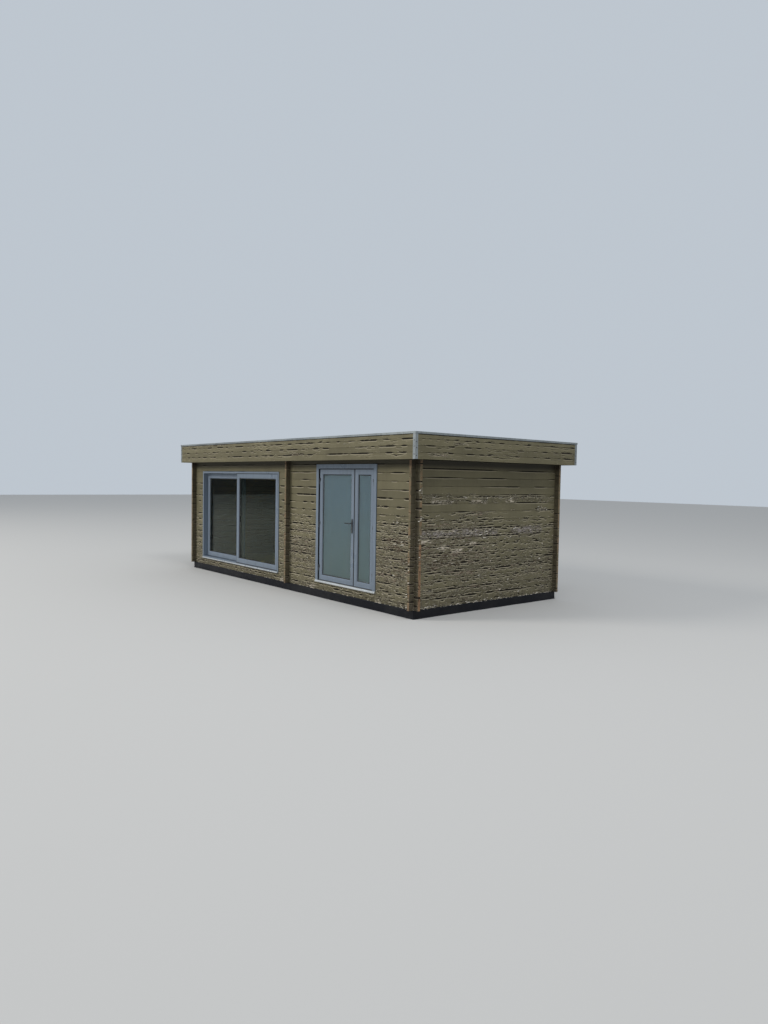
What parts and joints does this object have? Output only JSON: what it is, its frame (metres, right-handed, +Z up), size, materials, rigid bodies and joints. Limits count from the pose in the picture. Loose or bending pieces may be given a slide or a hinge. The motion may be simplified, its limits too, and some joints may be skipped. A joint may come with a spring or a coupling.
{
  "type": "flat-roofed interlocking log garden office with sliding and hinged glazed doors",
  "caption": "Two-room log garden office with a boarded fascia, a sliding glazed door and an unequal pair of frosted hinged doors, in flaking olive paint.",
  "frame": {"origin": "on the ground under the centre of the roof's outline", "axes": "+X along the front to the right as seen from outside, -Y out of the front with both doorways, +Z up"},
  "size_m": [7.507, 3.633, 2.6195],
  "materials": {
    "log_paint": "flaking olive-taupe paint on spruce logs",
    "fascia_paint": "flaking olive-taupe paint on boards",
    "soffit_paint": "dull olive-taupe paint",
    "bare_timber": "sawn softwood",
    "floor_timber": "planed tongue and groove boards",
    "concrete": "cast concrete",
    "damp_proof_sheet": "creased black plastic sheet",
    "roof_rubber": "matt rubber sheet",
    "edge_metal": "dull mill finish",
    "frame_grey": "satin blue-grey",
    "clear_glass": "clear",
    "frosted_glass": "frosted",
    "handle_metal": "satin"
  },
  "bodies": {
    "building": {"base_slab": "concrete", "base_membrane": "damp_proof_sheet", "floor_bearers": "bare_timber", "floor_boards": "floor_timber", "front_wall_bottom": "log_paint", "front_wall_left": "log_paint", "front_wall_middle": "log_paint", "front_wall_right": "log_paint", "front_wall_over_slider": "log_paint", "front_wall_top": "log_paint", "right_wall": "log_paint", "left_wall": "log_paint", "rear_wall": "log_paint", "partition_wall": "log_paint", "roof_joists": "bare_timber", "long_rims": "bare_timber", "end_rims": "bare_timber", "roof_deck": "bare_timber", "roof_membrane": "roof_rubber", "long_soffits": "soffit_paint", "end_soffits": "soffit_paint", "front_fascia": "fascia_paint", "rear_fascia": "fascia_paint", "left_fascia": "fascia_paint", "right_fascia": "fascia_paint", "corner_angles": "edge_metal", "long_trims": "edge_metal", "end_trims": "edge_metal", "slider_frame": "frame_grey", "fixed_sash": "frame_grey", "fixed_glass": "clear_glass", "door_frame": "frame_grey", "threshold": "edge_metal", "frame_hinges": "handle_metal"},
    "sliding_door": {"sliding_sash": "frame_grey", "sliding_glass": "clear_glass", "slider_handle": "handle_metal"},
    "main_door": {"main_leaf": "frame_grey", "main_glass": "frosted_glass", "main_hinges": "handle_metal", "handle_plates": "handle_metal"},
    "narrow_door": {"narrow_leaf": "frame_grey", "narrow_glass": "frosted_glass", "narrow_hinges": "handle_metal"},
    "lever": {"lever_handle": "handle_metal"}
  },
  "joints": [
    {"name": "sliding_door_slide", "type": "slide", "parent": "building", "child": "sliding_door", "axis": [1, 0, 0], "range_m": [0, 1.4]},
    {"name": "main_door_hinge", "type": "hinge", "parent": "building", "child": "main_door", "pos_m": [1.1585, -1.5825, 1.2], "axis": [0, 0, -1], "range_deg": [0, 90]},
    {"name": "narrow_door_hinge", "type": "hinge", "parent": "building", "child": "narrow_door", "pos_m": [2.5845, -1.5825, 1.2], "axis": [0, 0, 1], "range_deg": [0, 90]},
    {"name": "lever_turn", "type": "hinge", "parent": "main_door", "child": "lever", "pos_m": [2.0545, -1.575, 1.264], "axis": [0, -1, 0], "range_deg": [0, 40], "stiffness_Nm_per_rad": 1, "springref_deg": -34.38}
  ]
}
